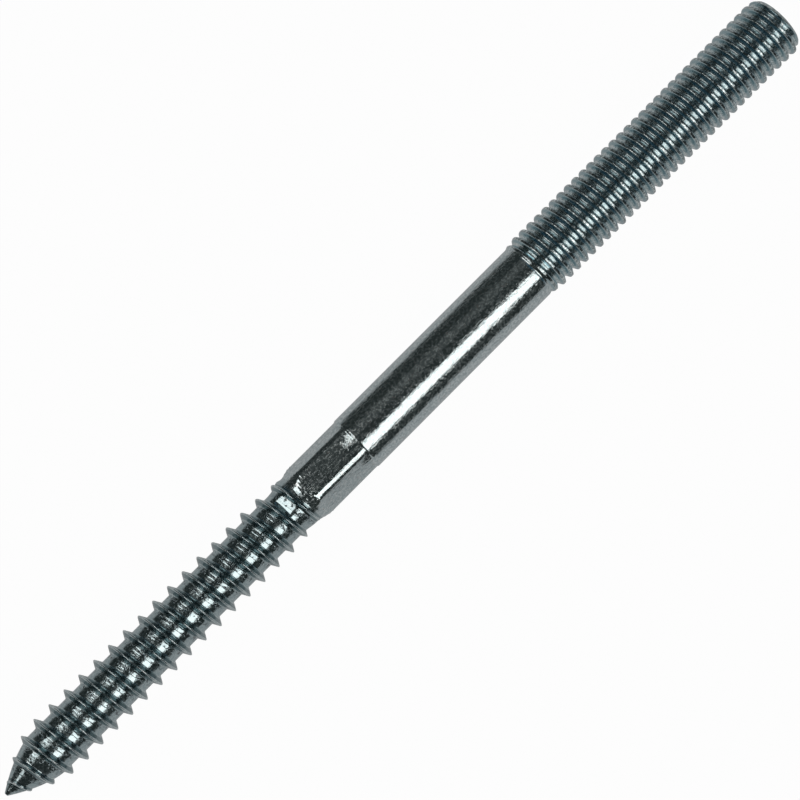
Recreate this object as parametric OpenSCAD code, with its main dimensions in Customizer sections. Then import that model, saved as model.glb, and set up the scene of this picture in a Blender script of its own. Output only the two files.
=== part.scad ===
// Hanger bolt: one steel bar with a wood screw thread and point at one end, a pressed
// hexagon for a spanner, a plain shank, and a machine thread at the other end.
// It lies on its side along X, the machine thread toward +X, touching z = 0.
// Distances along the bolt are measured from the wood point; angles about the axis
// run from +Y toward +Z. Both threads are right-handed.

/* [Machine thread] */
// Major diameter of the machine thread, M8
machine_d = 8; // [7.8:0.05:8.2]
// Diameter at the root of the machine thread
machine_root_d = 6.6; // [6.5:0.02:6.9]
// Pitch of the machine thread
machine_pitch = 1.25; // [1.25:0.05:1.75]
// Length of the machine thread, from the end of the shank to the end face
machine_l = 41.9; // [12:0.1:90]
// Width of the crest of a turn
machine_crest_w = 0.2; // [0.1:0.02:0.24]
// Length over which the first turn rises out of the shank
machine_rise_l = 1.3; // [0.8:0.1:3]
// Length of the chamfer at the end of the bolt
machine_chamfer_l = 1; // [0.8:0.05:2]
// Diameter of the end face
machine_end_d = 6.7; // [6.64:0.02:7]
// Angle about the axis at which the thread starts inside the shank
machine_turn = -55; // [-180:1:180]

/* [Shank] */
// Diameter of the plain shank, which is the bar that both threads are rolled on
shank_d = 7.2; // [7.12:0.04:7.4]
// Length of the plain shank
shank_l = 28.4; // [5:0.1:80]

/* [Hexagon] */
// Size across the flats
hex_flats = 6.5; // [6.3:0.05:6.8]
// Diameter over the corners, which keep a narrow band of the round bar
hex_corner_d = 7.06; // [6.96:0.02:7.1]
// Length of the hexagon, from the neck to the shoulder of the shank
hex_l = 7.2; // [3:0.1:20]
// Length of the cone by which the flats run out at the shoulder
hex_cone_l = 1.7; // [0.4:0.1:2.5]
// Diameter of that cone at the shoulder
hex_cone_d = 6.94; // [6.84:0.02:6.94]
// Length of the bevel of the shoulder, from the hexagon up to the shank
shoulder_l = 0.15; // [0.1:0.05:0.6]
// Angle of the first flat about the axis
hex_turn = 20; // [0:1:59]

/* [Neck] */
// Waist diameter between the wood thread and the hexagon
neck_d = 6.2; // [6:0.05:6.25]
// Length of the curve from the waist up to the hexagon
neck_l = 2.3; // [1:0.1:6]
// Length over which the root of the wood thread rises to the waist
neck_rise_l = 2; // [1:0.1:3]

/* [Wood thread] */
// Outside diameter of the wood thread
wood_d = 7.37; // [6.6:0.01:7.8]
// Diameter of the round core between the turns
wood_root_d = 5.74; // [5.4:0.02:5.9]
// Distance from one turn to the next
wood_pitch = 2.35; // [1.8:0.05:3]
// Length of the threaded end, from the point to the waist of the neck
wood_l = 46.4; // [20:0.1:90]
// Width of the crest of a turn
wood_crest_w = 0.24; // [0.1:0.02:0.4]
// Slope of each side of a turn, from square to the axis
wood_flank = 31; // [15:1:32]
// Length of the point
point_l = 6.6; // [4:0.1:10]
// Diameter of the blunt tip
point_tip_d = 0.44; // [0.2:0.02:1]
// Angle about the axis at which the thread starts on the point
wood_turn = -67; // [-180:1:180]

/* [Hidden] */

zinc = [0.62, 0.66, 0.68];
round_fn = 96;

// Places along the bolt, from the tip
neck_x = wood_l;
hex_x = neck_x + neck_l;
shank_x = hex_x + hex_l;
machine_x = shank_x + shank_l;
overall_l = machine_x + machine_l;
axis_h = max(machine_d, wood_d) / 2;

// Both threads have this many steps a turn, and a ridge that is never lower than this
turn_steps = 22;
least_ridge = 0.04;
// What joins inside the bolt is sunk this far below the surface, on the diameter
sunk_d = 0.4;
// Steps of the two curves of the neck
rise_steps = 5;
curve_steps = 8;

// Wood thread: where its ridge starts, and how it rises along the point and sinks into the neck
wood_x = 0.6;
rise_past_point = 0.4;
fade_l = 4;
fade_past_neck = 0.5;
fade_power = 0.6;
point_power = 1.6;
// A fillet point sits this share of the way up each side, pulled out by fillet_out of its width
fillet_up = 0.22;
fillet_out = 0.06;
wood_core_end_x = neck_x + neck_l / 2;

// Machine thread: its sides slope by 30 degrees, and it starts one turn inside the shank
machine_flank = 30;
machine_start_x = machine_x - machine_pitch;
machine_core_x = machine_start_x - machine_pitch / 2;
machine_end_r = machine_end_d / 2;
runout_l = 0.7;
end_gap = 0.25;
core_end_gap = 0.05;

function clamp01(t) = max(0, min(1, t));
// Smooth step from 0 to 1
function ease(t) = (1 - cos(180 * clamp01(t))) / 2;
function at(x, r, turn) = [x, r * cos(turn), r * sin(turn)];

// Radius of the core of the wood thread: a rounded cone at the point, then the constant root
function wood_core(x) = point_tip_d / 2
    + (wood_root_d - point_tip_d) / 2 * (1 - pow(1 - clamp01(x / point_l), point_power));

// Height of the wood thread: it grows along the point and sinks into the neck
function wood_ridge(x) = (wood_d - wood_root_d) / 2 * min(x / (point_l + rise_past_point), 1)
    * pow(clamp01((neck_x + fade_past_neck - x) / fade_l), fade_power);

// Section of the wood thread, for a ridge of height h, as [distance along, height above the
// core] from foot to foot: two straight sides with a fillet at each foot
function wood_section(h) = let (
        side = h * tan(wood_flank),
        foot = wood_crest_w / 2 + side,
        fillet = foot - side * (fillet_up + fillet_out)
    ) [
        [-foot, 0], [-fillet, fillet_up * h],
        [-wood_crest_w / 2, h], [wood_crest_w / 2, h],
        [fillet, fillet_up * h], [foot, 0]
    ];

// Height of the machine thread: it rises out of the shank, and the chamfer cuts it down
function machine_ridge(x) = let (
        full = (machine_d - machine_root_d) / 2,
        end_share = clamp01((overall_l - x) / machine_chamfer_l),
        end_h = (machine_end_d - machine_root_d) / 2
    ) min(full * (x - machine_start_x) / (machine_pitch + machine_rise_l),
        end_h + (full - end_h) * end_share);

// Section of the machine thread: two straight sides and a narrow crest
function machine_section(h) = let (foot = machine_crest_w / 2 + h * tan(machine_flank))
    [[-foot, 0], [-machine_crest_w / 2, h], [machine_crest_w / 2, h], [foot, 0]];

// Screw thread with its core, as one closed surface. A ridge of the given section winds
// from start_x to end_x, and the far foot of each turn is joined to the near foot of the
// next. The core is closed by a disc at each end, given as [place along, radius].
module screw_thread(start_x, end_x, pitch, start_turn, core, ridge, section, near, far) {
    size = len(section(1));
    last = floor((end_x - start_x) / pitch * turn_steps);
    last_ring = last - turn_steps;
    disc = turn_steps;
    first = disc + 1;
    tail = first + (last + 1) * size;
    function turn(i) = start_turn + 360 * i / turn_steps;
    function ring(p, i0) = [for (i = [0:turn_steps - 1]) at(p.x, p.y, turn(i0 + i))];
    function step(i) = let (x = start_x + pitch * i / turn_steps)
        [for (p = section(max(least_ridge, ridge(x)))) at(x + p.x, core(x + p.x) + p.y, turn(i))];
    function grid(i, j) = first + i * size + j;
    function near_ring(i) = i % turn_steps;
    function far_ring(i) = tail + i % turn_steps;
    points = concat(
        ring(near, 0), [[near.x, 0, 0]],
        [for (i = [0:last]) each step(i)],
        ring(far, last_ring), [[far.x, 0, 0]]
    );
    faces = concat(
        // Near disc, and the core from it to the near foot of the first turn
        [for (i = [0:turn_steps - 1]) [disc, near_ring(i), near_ring(i + 1)]],
        [for (i = [0:turn_steps - 1]) each [
            [near_ring(i), grid(i, 0), near_ring(i + 1)],
            [near_ring(i + 1), grid(i, 0), grid(i + 1, 0)]]],
        // Start of the ridge
        [for (j = [0:size - 2]) [near_ring(0), grid(0, j + 1), grid(0, j)]],
        [[near_ring(0), grid(turn_steps, 0), grid(0, size - 1)]],
        // Sides and crest of the ridge
        [for (i = [0:last - 1]) for (j = [0:size - 2]) each [
            [grid(i, j), grid(i, j + 1), grid(i + 1, j)],
            [grid(i + 1, j), grid(i, j + 1), grid(i + 1, j + 1)]]],
        // Root between one turn and the next
        [for (i = [0:last_ring - 1]) let (next = i + turn_steps) each [
            [grid(i, size - 1), grid(next, 0), grid(i + 1, size - 1)],
            [grid(i + 1, size - 1), grid(next, 0), grid(next + 1, 0)]]],
        // End of the ridge, and the core to the far disc
        [for (i = [0:turn_steps - 1]) let (k = last_ring + i) each [
            [grid(k, size - 1), far_ring(i), grid(k + 1, size - 1)],
            [grid(k + 1, size - 1), far_ring(i), far_ring(i + 1)]]],
        [for (j = [0:size - 2]) [far_ring(0), grid(last, j), grid(last, j + 1)]],
        [[far_ring(0), grid(last_ring, size - 1), grid(last, 0)]],
        [for (i = [0:turn_steps - 1]) [tail + turn_steps, far_ring(i + 1), far_ring(i)]]
    );
    polyhedron(points = points, faces = faces);
}

// Wood thread with its core and point
module wood_thread() {
    screw_thread(
        start_x = wood_x, end_x = neck_x + fade_past_neck,
        pitch = wood_pitch, start_turn = wood_turn,
        core = function (x) wood_core(x),
        ridge = function (x) wood_ridge(x),
        section = function (h) wood_section(h),
        near = [0, point_tip_d / 2],
        far = [wood_core_end_x, (wood_root_d - sunk_d) / 2]
    );
}

// Machine thread with its core, which ends inside the shank and inside the end of the bar
module machine_thread() {
    root_r = machine_root_d / 2;
    sunk_r = root_r - sunk_d / 2;
    screw_thread(
        start_x = machine_start_x, end_x = overall_l - end_gap,
        pitch = machine_pitch, start_turn = machine_turn,
        core = function (x) root_r,
        ridge = function (x) machine_ridge(x),
        section = function (h) machine_section(h),
        near = [machine_core_x, sunk_r],
        far = [overall_l - core_end_gap, sunk_r]
    );
}

// Outline of the round bar from the neck to the end face, as [radius, distance]
function bar_outline() = let (
        start_r = (wood_root_d - sunk_d) / 2,
        core_r = (machine_root_d - sunk_d) / 2,
        rise = [for (i = [0:rise_steps]) let (t = i / rise_steps)
            [start_r + (neck_d / 2 - start_r) * ease(t), neck_x - neck_rise_l * (1 - t)]],
        curve = [for (i = [1:curve_steps]) let (t = i / curve_steps)
            [neck_d / 2 + (hex_corner_d - neck_d) / 2 * ease(t), neck_x + neck_l * t]]
    ) concat(
        [[0, neck_x - neck_rise_l]], rise, curve,
        [
            [hex_corner_d / 2, shank_x], [shank_d / 2, shank_x + shoulder_l],
            [shank_d / 2, machine_x], [core_r, machine_x + runout_l],
            [core_r, overall_l - machine_chamfer_l], [machine_end_r, overall_l - end_gap],
            [machine_end_r, overall_l], [0, overall_l]
        ]
    );

// Round bar with the six flats pressed into it
module pressed_bar() {
    flat_w = hex_corner_d;
    difference() {
        rotate([0, 90, 0])
            rotate_extrude($fn = round_fn)
                polygon(bar_outline());
        for (side = [0:5])
            rotate([hex_turn + 60 * side, 0, 0])
                translate([neck_x, hex_flats / 2, -flat_w / 2])
                    cube([shank_x - neck_x, flat_w, flat_w]);
    }
}

// Cone under the shoulder, on which the flats run out. It comes up through the middle of
// each flat, and its back is buried in the shank.
module shoulder_cone() {
    cone_r = hex_cone_d / 2;
    buried_r = hex_flats - cone_r;
    rotate([0, 90, 0])
        rotate_extrude($fn = round_fn)
            polygon([
                [0, shank_x - 2 * hex_cone_l], [buried_r, shank_x - 2 * hex_cone_l],
                [cone_r, shank_x], [buried_r, shank_x + hex_cone_l], [0, shank_x + hex_cone_l]
            ]);
}

module hanger_bolt() {
    color(zinc)
        translate([-overall_l / 2, 0, axis_h]) {
            pressed_bar();
            shoulder_cone();
            wood_thread();
            machine_thread();
        }
}

hanger_bolt();
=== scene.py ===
import math

import bmesh
import bpy
import numpy as np
from mathutils import Matrix, Vector


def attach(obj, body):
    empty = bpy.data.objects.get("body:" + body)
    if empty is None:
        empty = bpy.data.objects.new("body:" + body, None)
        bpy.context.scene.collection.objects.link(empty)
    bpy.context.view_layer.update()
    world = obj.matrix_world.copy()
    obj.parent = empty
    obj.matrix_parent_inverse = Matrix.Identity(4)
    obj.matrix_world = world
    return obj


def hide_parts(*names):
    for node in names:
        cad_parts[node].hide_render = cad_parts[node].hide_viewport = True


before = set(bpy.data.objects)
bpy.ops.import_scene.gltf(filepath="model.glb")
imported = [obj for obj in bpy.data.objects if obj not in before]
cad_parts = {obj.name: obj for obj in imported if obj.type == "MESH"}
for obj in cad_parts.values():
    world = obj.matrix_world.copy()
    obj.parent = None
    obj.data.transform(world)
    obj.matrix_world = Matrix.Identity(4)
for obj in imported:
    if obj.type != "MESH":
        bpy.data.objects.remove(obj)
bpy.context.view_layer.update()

# ---- Camera ---------------------------------------------------------------
# A long lens looks down on the bolt as it lies, leaning a little toward the wood point.
# The bolt runs across the picture from the lower left to the upper right.

MM = 0.001
AXIS_H = 4 * MM                     # height of the bolt's axis above the floor
CAMERA_AWAY = 0.35
CAMERA_LEAN = math.radians(6.76)
BOLT_RISE = math.radians(45.04)     # how steeply the bolt climbs across the picture
LENS = 137.07
SENSOR = 36


def look_down(target, away, lean, rise):
    """The camera's matrix: it looks at target from away metres, leaning toward -X by lean
    from the vertical, and turned about its view so that +X climbs by rise in the picture."""
    forward = Vector((math.sin(lean), 0, -math.cos(lean)))
    along = Vector((math.cos(lean), 0, math.sin(lean)))
    across = Vector((0, -1, 0))
    right = along * math.cos(rise) + across * math.sin(rise)
    up = along * math.sin(rise) - across * math.cos(rise)
    place = Vector(target) - forward * away
    return Matrix.Translation(place) @ Matrix((right, up, -forward)).transposed().to_4x4()


lens = bpy.data.cameras.new("camera")
lens.lens = LENS
lens.sensor_width = SENSOR
lens.clip_end = 100
camera = bpy.data.objects.new("camera", lens)
camera.matrix_world = look_down((0.00004, 0, AXIS_H), CAMERA_AWAY, CAMERA_LEAN, BOLT_RISE)
bpy.context.scene.collection.objects.link(camera)
bpy.context.scene.camera = camera

# ---- Hanger bolt ----------------------------------------------------------
# One bar of steel wire: both threads are rolled on it, the hexagon is pressed between
# dies, and the whole is zinc plated. All of it is one surface, whose radius is a function
# of the place along the bolt and of the angle about it.

# Places along the bolt, in millimetres from the wood point
LENGTH = 126.2
WAIST = 44.3                        # the root of the wood thread starts to thicken here
NECK = 46.4
HEX = 48.7
CONE = 54.2                         # the flats start to run out on the shoulder's cone here
SHANK = 55.9
BEVEL_L = 0.15                      # the step from the shoulder up to the shank
MACHINE = 84.3
MACHINE_ROWS = MACHINE - 0.1        # the mesh follows the machine thread from here
CHAMFER = 125.2

# Wood thread: radii, lengths and widths in millimetres
TIP_R = 0.22
ROOT_R = 2.89
POINT_L = 6.6
POINT_POWER = 1.6
WOOD_PITCH = 2.35
WOOD_CREST = 17.49                  # a crest passes +Y here
WOOD_RIDGE = 0.89
WOOD_RISE_L = 7
WOOD_CREST_W = 0.12
WOOD_FLANK = math.radians(28.5)
WOOD_END = 46.9
WOOD_FADE_L = 4

# Where its last turn runs out, before the neck
NECK_R = 3.1
PRESSED = 45.25                     # middle of the place that is pressed nearly flat
PRESSED_R = 2.74
PRESSED_SLOPE = 0.22
PRESSED_TURN = math.radians(74)
PRESSED_FROM, PRESSED_TO, PRESSED_EDGE = 44.4, 46.1, 0.3
SWELL = 46.35
SWELL_R = 0.25
SWELL_L = 0.5

# Hexagon and shank
FLAT_R = 3.25
CORNER_R = 3.53
CONE_R = 3.47
FIRST_FLAT = 20                     # degrees from +Y to the middle of a flat
FLAT_HALF = 0.42                    # radians, the part of a flat that carries the burr
SHANK_R = 3.62

# Machine thread
PITCH = 1.25
CREST = 104.49                      # a crest passes +Y here
VALLEY_R = 3.3
CREST_R = 3.985
CREST_W = 0.36
CREST_DIP = (107, 5, 0.04)          # its crests dip at this place, over this length and by this
FLANK = math.radians(30)
FIRST_TURN = [84.2, 84.55, 85.2, 85.75], [0, 0.45, 0.5, 1]      # places, shares of its height
CHAMFER_R = [CHAMFER, 125.77, LENGTH], [4.02, 3.74, 3.38]       # places, radii
LIMIT_R = 3.995                     # no crest passes this


def soft_max(a, b, blend):
    """The greater of a and b, with the crease between them rounded over about blend."""
    return (a + b + np.sqrt((a - b) ** 2 + blend ** 2)) / 2


def soft_min(a, b, blend):
    """The lesser of a and b, with the crease between them rounded over about blend."""
    return (a + b - np.sqrt((a - b) ** 2 + blend ** 2)) / 2


def ease(t):
    """Smooth step from 0 to 1 as t goes from 0 to 1."""
    return (1 - np.cos(np.pi * np.clip(t, 0, 1))) / 2


def from_crest(x, turn, crest, pitch):
    """Distance along the bolt from the nearest crest line of a helix that passes +Y at crest
    and advances one pitch a turn."""
    phase = (x - crest) / pitch - turn / (2 * np.pi)
    return (phase - np.round(phase)) * pitch


def uneven(x, turn, size, seed, waves=14):
    """Smooth irregularity between about -1 and 1, with features about size millimetres long:
    a sum of plane waves of random direction, read at the surface of a bar of radius 3.5."""
    draw = np.random.default_rng(seed)
    way = draw.normal(size=(waves, 3))
    way *= (2 * np.pi / size / np.linalg.norm(way, axis=1)
            * draw.uniform(0.35, 1, waves))[:, None]
    start = draw.uniform(0, 2 * np.pi, waves)
    place = np.stack([x, 3.5 * np.cos(turn), 3.5 * np.sin(turn)], axis=-1)
    return np.sin(place @ way.T + start).sum(axis=-1) / math.sqrt(waves / 2) / 1.6


def core_radius(x):
    """Radius of the bar under the wood thread and up to the shank: a rounded cone at the
    point, the root of the thread, the neck, then the round between the flats."""
    point = TIP_R + (ROOT_R - TIP_R) * (1 - (1 - np.clip(x / POINT_L, 0, 1)) ** POINT_POWER)
    waist = (NECK_R - ROOT_R) * ease((x - WAIST) / (NECK - WAIST))
    shoulder = (CORNER_R - NECK_R) * ease((x - NECK) / (HEX - NECK))
    step = (SHANK_R - CORNER_R) * np.clip((x - SHANK) / BEVEL_L, 0, 1)
    return point + waist + shoulder + step


def run_out(x, turn, bar):
    """Radius of the bar where the wood thread's last turn runs out: pressed nearly flat before
    the neck, near the top, and swollen a little after the last crest, on the far side."""
    pressed = PRESSED_R + PRESSED_SLOPE * (x - PRESSED)
    pressed = pressed / np.maximum(np.cos(turn - PRESSED_TURN), 0.5)
    window = ease((x - PRESSED_FROM) / PRESSED_EDGE) * ease((PRESSED_TO - x) / PRESSED_EDGE)
    swollen = SWELL_R * np.exp(-((x - SWELL) / SWELL_L) ** 2) * np.clip(np.cos(turn), 0, 1)
    return bar + (soft_min(bar, pressed, 0.06) - bar) * window + swollen


def wood_ridge(x, turn):
    """Height of the wood thread above the core: a narrow rounded crest on two straight
    flanks, rising along the point and sinking into the neck."""
    away = np.abs(from_crest(x, turn, WOOD_CREST, WOOD_PITCH))
    height = WOOD_RIDGE * np.clip((x - 0.3) / WOOD_RISE_L, 0, 1)
    height = height * np.clip((WOOD_END - x) / WOOD_FADE_L, 0, 1) ** 0.6
    height = height * (1 + 0.04 * uneven(x, turn, 4, 3))
    flank = height - (away - WOOD_CREST_W / 2) / math.tan(WOOD_FLANK)
    return soft_max(soft_min(flank, height, 0.1), 0, 0.035) - 0.006


def hexagon_radius(x, turn, bar):
    """Radius of the pressed length: the round bar cut by six flats, each at its distance from
    the axis over the cosine of the angle from its normal, and the cone that comes up through
    them at the shoulder. Where the flats leave the neck, the dies raised an uneven burr."""
    away = np.mod(turn - math.radians(FIRST_FLAT) + np.pi / 6, np.pi / 3) - np.pi / 6
    flat = FLAT_R / np.cos(away)
    cone = FLAT_R + (CONE_R - FLAT_R) * (x - CONE) / (SHANK - CONE)
    pressed = soft_max(soft_min(bar + 0.02, flat, 0.08), cone, 0.02)
    rise = np.clip((flat - NECK_R) / (CORNER_R - NECK_R), 0, 1)
    edge = NECK + (HEX - NECK) * np.arccos(1 - 2 * rise) / np.pi
    edge = edge + 0.06 * uneven(x, turn, 1.2, 5)
    burr = 0.045 * np.exp(-((x - edge) / 0.08) ** 2) * (1 + 0.4 * uneven(x, turn, 0.8, 6))
    outer = edge - 0.75 + 0.25 * (away / 0.4) ** 2
    burr = burr + 0.035 * np.exp(-((x - outer) / 0.1) ** 2) * (1 + 0.6 * uneven(x, turn, 1, 7))
    return pressed + np.where(np.abs(away) < FLAT_HALF, burr, 0)


def machine_radius(x, turn):
    """Radius of the machine thread: crests and roots of a 60 degree thread, both rounded,
    growing out of the shank over the first turn and cut off by the chamfer at the end."""
    away = np.abs(from_crest(x, turn, CREST, PITCH))
    dip, dip_l, dip_depth = CREST_DIP
    crest = CREST_R - dip_depth * np.exp(-((x - dip) / dip_l) ** 2)
    flank = crest - (away - CREST_W / 2) / math.tan(FLANK)
    thread = soft_max(soft_min(flank, crest, 0.07), VALLEY_R, 0.14)
    thread = SHANK_R + (thread - SHANK_R) * np.interp(x, *FIRST_TURN)
    return soft_min(thread, np.interp(x, *CHAMFER_R), 0.04)


def bolt_radius(x, turn):
    """Radius of the whole bolt, in millimetres, at x along it and turn about it."""
    bar = run_out(x, turn, core_radius(x))
    radius = np.where((x > NECK - 0.4) & (x < SHANK), hexagon_radius(x, turn, bar), bar)
    radius = radius + np.where(x < WOOD_END + 1, wood_ridge(x, turn), 0)
    return np.where(x > MACHINE_ROWS, machine_radius(x, turn), radius)


def columns_about_flats(from_flat):
    """Angles of the columns of the mesh, at these degrees from the middle of each flat."""
    angles = np.radians(FIRST_FLAT + np.add.outer(60 * np.arange(6), from_flat).ravel())
    return np.append(angles, angles[0] + 2 * np.pi)


# Even columns for the threads, and others that stand close together at the hexagon's corners
columns = columns_about_flats(np.arange(-30, 30, 5))
hexagon_columns = columns_about_flats(
    [-30, -26.5, -23.5, -20.5, -16, -9, 0, 9, 16, 20.5, 23.5, 26.5])


def screw_rows(start, end, crest, pitch, spots):
    """Places along the bolt of rows that follow a helix: one row for each spot of the pitch,
    sheared so that it advances one pitch a turn, and held between start and end."""
    first = math.floor((start - crest) / pitch) - 2
    last = math.ceil((end - crest) / pitch) + 2
    rows = crest + np.add.outer(pitch * np.arange(first, last), spots).ravel()
    return np.clip(rows[:, None] + pitch * columns / (2 * np.pi), start, end)


def level_rows(places):
    """Rows square to the axis, at these places along the bolt."""
    return np.repeat(np.asarray(places)[:, None], len(columns), axis=1)


def spots_about_crest(pitch, crest_w, on_crest, on_flank):
    """Distances from the crest line, within one pitch, close together on the crest."""
    crest = np.linspace(-crest_w, crest_w, on_crest)
    flank = np.linspace(crest_w, pitch - crest_w, on_flank + 2)[1:-1]
    return np.concatenate([crest, flank])


wood_spots = spots_about_crest(WOOD_PITCH, 0.2, 9, 17)
machine_spots = spots_about_crest(PITCH, 0.2, 9, 11)
rows = np.concatenate([
    screw_rows(0, WOOD_END, WOOD_CREST, WOOD_PITCH, wood_spots),
    level_rows(np.arange(WOOD_END, HEX + 0.2, 0.06)[1:]),
    level_rows(np.arange(HEX + 0.5, CONE - 0.2, 0.5)),
    level_rows(np.linspace(CONE - 0.1, SHANK, 22)),
    level_rows([SHANK + 0.05, SHANK + 0.1, SHANK + BEVEL_L, SHANK + 0.25]),
    level_rows(np.linspace(SHANK + 1, MACHINE - 0.4, 30)),
    screw_rows(MACHINE_ROWS, LENGTH, CREST, PITCH, machine_spots),
])
gathered = np.clip((rows - WOOD_END) / 0.3, 0, 1) * np.clip((SHANK + 1 - rows) / 0.7, 0, 1)
turn = columns + (hexagon_columns - columns) * gathered
radius = bolt_radius(rows, turn)

# Both ends are closed: the blunt tip, and the end face with its shallow dish
dish = np.array([0.96, 0.85, 0.5, 0.0])             # shares of the end's radius
dish_depth = np.array([0, 0.03, 0.12, 0.15])
rows = np.concatenate([level_rows([0]), rows, level_rows(LENGTH - dish_depth)])
radius = np.concatenate([level_rows([0]), radius, dish[:, None] * radius[-1:]])
turn = np.concatenate([columns[None, :], turn, np.repeat(columns[None, :], len(dish), axis=0)])
radius = np.minimum(radius, LIMIT_R)

points = np.stack([
    rows - LENGTH / 2,
    radius * np.cos(turn),
    radius * np.sin(turn) + AXIS_H / MM,
], axis=-1).reshape(-1, 3) * MM


def grid_faces(n_rows, n_columns):
    """Four-cornered faces between neighbouring rows and columns, wound to face outwards."""
    corner = np.arange(n_rows * n_columns).reshape(n_rows, n_columns)
    faces = [corner[1:, :-1], corner[1:, 1:], corner[:-1, 1:], corner[:-1, :-1]]
    return np.stack(faces, axis=-1).reshape(-1, 4)


shape = bpy.data.meshes.new("zinc_plated_hanger_bolt")
shape.from_pydata(points, [], grid_faces(*rows.shape))

# Stored on the mesh: the distance from the nearest crest line, the side of it, from -1 to 1,
# and the place along the bolt
crest = np.where(rows > MACHINE_ROWS, CREST, WOOD_CREST)
pitch = np.where(rows > MACHINE_ROWS, PITCH, WOOD_PITCH)
past_crest = from_crest(rows, turn, crest, pitch)
side = np.sin(2 * np.pi * past_crest / pitch)
for name, values in (("away", np.abs(past_crest)), ("side", side), ("along", rows)):
    layer = shape.attributes.new(name, "FLOAT", "POINT")
    layer.data.foreach_set("value", values.ravel().astype(np.float32))

work = bmesh.new()
work.from_mesh(shape)
bmesh.ops.remove_doubles(work, verts=work.verts, dist=1.5e-6)
bmesh.ops.dissolve_degenerate(work, edges=work.edges, dist=1e-7)
bmesh.ops.recalc_face_normals(work, faces=work.faces)
work.to_mesh(shape)
work.free()
shape.polygons.foreach_set("use_smooth", np.ones(len(shape.polygons), bool))
bolt = bpy.data.objects.new("zinc_plated_hanger_bolt", shape)
bpy.context.scene.collection.objects.link(bolt)


class Wire:
    """A socket of a material's nodes. Its operators add Math nodes, so that a mask is written
    as an expression."""

    def __init__(self, nodes, socket):
        self.nodes = nodes
        self.socket = socket

    def math(self, operation, *others, clamp=False):
        values = {i: v for i, v in enumerate((self,) + others)}
        settings = dict(operation=operation, use_clamp=clamp)
        return self.nodes.add("ShaderNodeMath", settings, values)

    def __add__(self, other): return self.math("ADD", other)
    def __radd__(self, other): return self.math("ADD", other)
    def __sub__(self, other): return self.math("SUBTRACT", other)
    def __rsub__(self, other): return self.nodes.value(other).math("SUBTRACT", self)
    def __mul__(self, other): return self.math("MULTIPLY", other)
    def __rmul__(self, other): return self.math("MULTIPLY", other)

    def between(self, low, high):
        """0 below low, 1 above high and a smooth step between them."""
        settings = dict(interpolation_type="SMOOTHSTEP")
        return self.nodes.add("ShaderNodeMapRange", settings, {0: self, 1: low, 2: high})


class Nodes:
    """The nodes of one material, or of the world, added one at a time."""

    def __init__(self, owner):
        owner.use_nodes = True
        self.owner = owner
        self.tree = owner.node_tree
        self.tree.nodes.clear()

    def add(self, kind, settings, values, output=0):
        """Adds a node of this kind, applies its settings, then links or sets its sockets."""
        node = self.tree.nodes.new(kind)
        for name, setting in settings.items():
            setattr(node, name, setting)
        for socket, value in values.items():
            if isinstance(value, Wire):
                self.tree.links.new(value.socket, node.inputs[socket])
            else:
                node.inputs[socket].default_value = value
        return Wire(self, node.outputs[output]) if len(node.outputs) else None

    def value(self, number):
        """A constant as a socket, for the left side of a subtraction."""
        return self.add("ShaderNodeMath", dict(operation="ADD"), {0: number, 1: 0.0})

    def attribute(self, name):
        """A value stored on the mesh."""
        return self.add("ShaderNodeAttribute", dict(attribute_name=name), {}, output="Fac")

    def stretched(self, x, y, z):
        """Object coordinates in millimetres, scaled along each axis."""
        place = self.add("ShaderNodeTexCoord", {}, {}, output="Object")
        return self.add("ShaderNodeMapping", {}, {0: place, 3: (1000 * x, 1000 * y, 1000 * z)})

    def noise(self, place, size, detail=2.0, rough=0.5):
        """Noise from 0 to 1 with features about size millimetres long."""
        values = {"Vector": place, "Scale": 1 / size, "Detail": detail, "Roughness": rough}
        return self.add("ShaderNodeTexNoise", {}, values)

    def mix(self, factor, a, b):
        """Colour a where factor is 0 and b where it is 1."""
        settings = dict(data_type="RGBA")
        return self.add("ShaderNodeMix", settings, {0: factor, 6: a, 7: b}, output=2)


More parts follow.
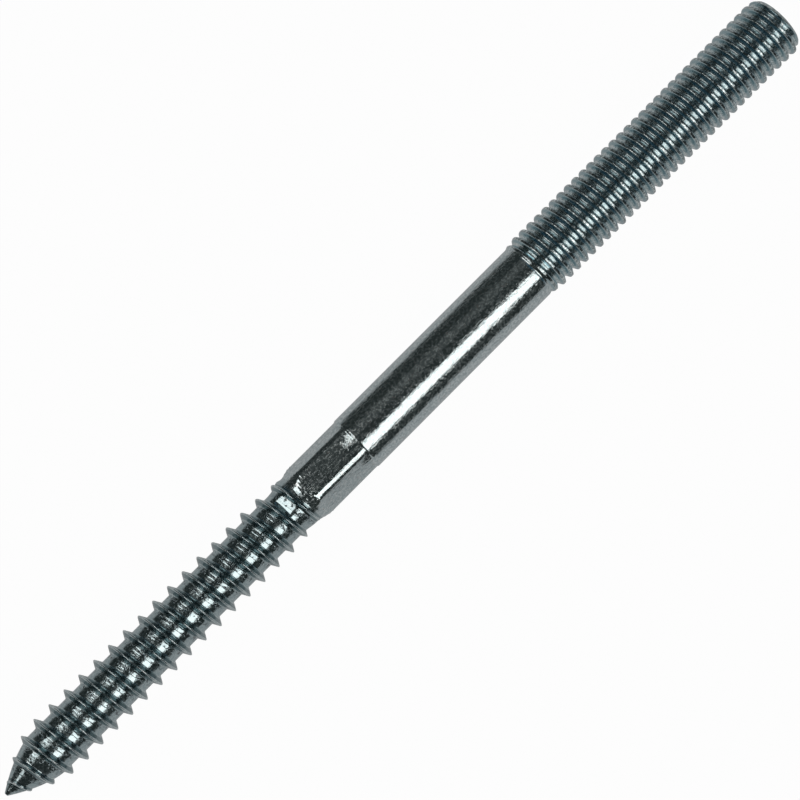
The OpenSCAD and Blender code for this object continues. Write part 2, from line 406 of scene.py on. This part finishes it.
def zinc_plating():
    """Bright zinc on rolled steel: blue-grey metal, mottled all over, scratched along the
    shank and the hexagon, and pitted in the root of the wood thread."""
    nodes = Nodes(bpy.data.materials.new("bright_zinc"))
    place = nodes.stretched(1, 1, 1)
    away = nodes.attribute("away")
    side = nodes.attribute("side")
    along = nodes.attribute("along")

    # Masks of the surfaces. The root of the wood thread is worn before each crest
    on_machine = along.between(84.3, 84.9)
    on_wood = 1 - along.between(46.6, 47.6)
    threaded = on_wood + on_machine
    on_hexagon = along.between(48, 49) * (1 - along.between(55.7, 55.9))
    machine_crest = on_machine * (1 - away.between(0.14, 0.22))
    machine_flank = on_machine * away.between(0.16, 0.24) * (1 - away.between(0.36, 0.46))
    wood_flank = on_wood * away.between(0.1, 0.18) * (1 - away.between(0.38, 0.48))
    wood_root = on_wood * away.between(0.45, 0.55)
    worn_root = wood_root * (0 - side).between(-0.05, 0.3)

    # Bumps, in millimetres: dents and grain everywhere, more grain on the machine crests,
    # scratches along the shank and the hexagon, rolling marks round the threads, and deeper
    # pits in the worn root
    grain = nodes.noise(place, 0.28, 2, 0.6)
    mottle = nodes.noise(place, 0.3, 2, 0.6).between(0.42, 0.6)
    dents = nodes.noise(place, 0.9, 2)
    pits = nodes.noise(place, 0.45, 2).between(0.56, 0.7)
    scratches = nodes.noise(nodes.stretched(0.2, 2, 2), 0.5, 2, 0.6)
    rolled = nodes.noise(nodes.stretched(1, 0.2, 0.2), 0.2, 2, 0.6)
    height = grain * (0.012 - 0.004 * threaded + 0.02 * machine_crest)
    height = height + dents * (0.035 + 0.03 * worn_root)
    height = height + scratches * (1 - threaded) * (0.016 + 0.01 * on_hexagon)
    height = height + rolled * (threaded * 0.012 + wood_flank * 0.02)
    height = height - pits * (0.006 + 0.05 * worn_root)
    bump = nodes.add("ShaderNodeBump", {}, {"Strength": 1.0, "Distance": MM, "Height": height})

    # Colours: mottled zinc with a few warm specks, dull in the hexagon's scratches and darker
    # on the machine crests. Toward the wood thread's roots and on the flanks, which face each
    # other, it is darker and bluer: partly the plating's blue tint, partly painted shade
    cloud = nodes.noise(place, 2.2, 2)
    speck = nodes.noise(place, 0.45, 2).between(0.62, 0.72)
    speckle = nodes.noise(nodes.stretched(0.6, 1, 1), 0.2, 2, 0.6).between(0.45, 0.6)
    colour = nodes.mix(mottle, (0.56, 0.65, 0.67, 1), (0.8, 0.88, 0.89, 1))
    colour = nodes.mix(speck * 0.35, colour, (0.8, 0.7, 0.66, 1))
    colour = nodes.mix(on_hexagon * speckle * 0.25, colour, (0.3, 0.34, 0.35, 1))
    # Painted shade, with some of the plating's blue tint: the wood thread's root is darker
    # between its ridges
    colour = nodes.mix(wood_root * 0.5, colour, (0.36, 0.48, 0.51, 1))
    colour = nodes.mix(worn_root * (0.4 - 0.4 * mottle), colour, (0.28, 0.34, 0.36, 1))
    colour = nodes.mix(worn_root * pits * 0.8, colour, (0.2, 0.23, 0.25, 1))
    colour = nodes.mix(machine_crest * (1 - mottle) * 0.8, colour, (0.27, 0.33, 0.34, 1))
    # Painted shade, with some of the plating's blue tint: the flanks of both threads, which
    # face each other, are darker
    colour = nodes.mix(machine_flank, colour, (0.42, 0.56, 0.6, 1))
    colour = nodes.mix(wood_flank, colour, (0.28, 0.37, 0.39, 1))
    settings = {
        "Base Color": colour,
        "Metallic": 1.0,
        "Roughness": 0.08 + cloud * 0.04 + mottle * 0.16,
        "Normal": bump,
    }
    shader = nodes.add("ShaderNodeBsdfPrincipled", {}, settings)
    nodes.add("ShaderNodeOutputMaterial", {}, {"Surface": shader})
    return nodes.owner


shape.materials.append(zinc_plating())
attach(bolt, "root")
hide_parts("hanger_bolt")

# ---- Floor and light ------------------------------------------------------
# A plain pale floor in a dim studio. Three softboxes stand in a row on the near side of the
# bolt, one on the far side over the wood thread and one beyond the point, and a faint panel
# lights the rest of the far side.

FLOOR_HALF = 4
FLOOR_COLOUR = (0.85, 0.85, 0.85, 1)
FLOOR_GLOW = 0.975                  # share of plain colour, seen by the camera and in the metal
FLOOR_MIRRORED = (0.36, 0.36, 0.36, 1)      # that colour in the metal
FLOOR_DIMS = (14, 34)               # painted shade, seen only in the metal: the floor dims behind the bolt, between these distances in mm
FLOOR_DIMS_TO = (45, 80)            # and no longer past these, toward the bolt's end face
DIM = (0.0265, 0.031, 0.03, 1)      # what stands round the bolt
SKY = (0.034, 0.08, 0.112, 1)       # and what stands beyond its end face, low and blue
SKY_FROM, SKY_TO = (0.3, 0.5), (0.56, 0.66)     # its edges, as x of the direction there
WARM = (1, 0.98, 0.955)             # the lamps' colour


def floor_paint():
    """Matt pale paint, partly plain white to the camera and plain grey in reflections, with
    painted shade in those reflections behind the bolt, and with the bolt's shadow kept."""
    nodes = Nodes(bpy.data.materials.new("pale_floor"))
    rays = [nodes.add("ShaderNodeLightPath", {}, {}, output=name)
            for name in ("Is Camera Ray", "Is Glossy Ray", "Is Transmission Ray")]
    seen = rays[0].math("ADD", rays[1]).math("ADD", rays[2], clamp=True)
    matt = nodes.add("ShaderNodeBsdfDiffuse", {}, {"Color": FLOOR_COLOUR})
    place = nodes.stretched(1, 1, 1)
    along, across = [nodes.add("ShaderNodeSeparateXYZ", {}, {0: place}, output=axis)
                     for axis in "XY"]
    # Painted shade on the floor, seen only in the metal: behind the bolt its reflection turns
    # to the studio's dim colour
    dims = across.between(*FLOOR_DIMS) * (1 - along.between(*FLOOR_DIMS_TO))
    mirrored = nodes.mix(dims, FLOOR_MIRRORED, DIM)
    colour = nodes.mix(rays[1], (1, 1, 1, 1), mirrored)
    white = nodes.add("ShaderNodeEmission", {}, {"Color": colour, "Strength": 1.0})
    shader = nodes.add("ShaderNodeMixShader", {}, {0: seen * FLOOR_GLOW, 1: matt, 2: white})
    nodes.add("ShaderNodeOutputMaterial", {}, {"Surface": shader})
    return nodes.owner


ground = bpy.data.meshes.new("floor")
corners = [(x * FLOOR_HALF, y * FLOOR_HALF, 0) for x, y in ((-1, -1), (1, -1), (1, 1), (-1, 1))]
ground.from_pydata(corners, [], [(0, 1, 2, 3)])
ground.materials.append(floor_paint())
floor = bpy.data.objects.new("floor", ground)
bpy.context.scene.collection.objects.link(floor)


def softbox(name, away, middle_x, low, high, length, radiance):
    """An area light at away metres from the bolt's axis. Across the bolt it spans the angles
    from low to high, in degrees from straight up toward -Y, and along the bolt it is length
    metres about middle_x. A white surface that mirrors it shows its radiance."""
    middle = math.radians((low + high) / 2)
    width = 2 * away * math.tan(math.radians(abs(high - low) / 2))
    lamp = bpy.data.lights.new(name, "AREA")
    lamp.shape = "RECTANGLE"
    lamp.size = length
    lamp.size_y = width
    lamp.energy = radiance * math.pi * length * width
    lamp.color = WARM
    light = bpy.data.objects.new(name, lamp)
    place = Vector((middle_x, -math.sin(middle) * away, math.cos(middle) * away + AXIS_H))
    light.location = place
    light.rotation_euler = (middle, 0, 0)
    bpy.context.scene.collection.objects.link(light)


for lamp in (
    # name, away, middle_x, low, high, length, radiance
    ("near_softbox", 0.7, 0.085, 14.4, 47.4, 0.13, 1.7),
    ("near_wood_softbox", 0.7, -0.08, 19, 49.5, 0.2, 1.9),
    ("near_machine_softbox", 0.7, 0.24, 19, 45.8, 0.18, 1.7),
    ("far_softbox", 0.65, -0.275, -19, -52, 0.36, 1.7),
    ("point_softbox", 0.65, -0.95, -19, -45, 0.5, 1.2),
    ("far_panel", 0.65, 0.3, -19, -52, 0.8, 0.041),
):
    softbox(*lamp)


def studio_air(world):
    """Dim all round, and bluer toward the end face of the bolt."""
    nodes = Nodes(world)
    way = nodes.add("ShaderNodeTexCoord", {}, {}, output="Generated")
    x = nodes.add("ShaderNodeSeparateXYZ", {}, {0: way}, output="X")
    toward_end = x.between(*SKY_FROM) * (1 - x.between(*SKY_TO))
    air = nodes.add("ShaderNodeBackground", {}, {0: nodes.mix(toward_end, DIM, SKY)})
    nodes.add("ShaderNodeOutputWorld", {}, {"Surface": air})
    return world


world = studio_air(bpy.data.worlds.new("studio"))
bpy.context.scene.world = world
bpy.context.scene.view_settings.view_transform = "Standard"
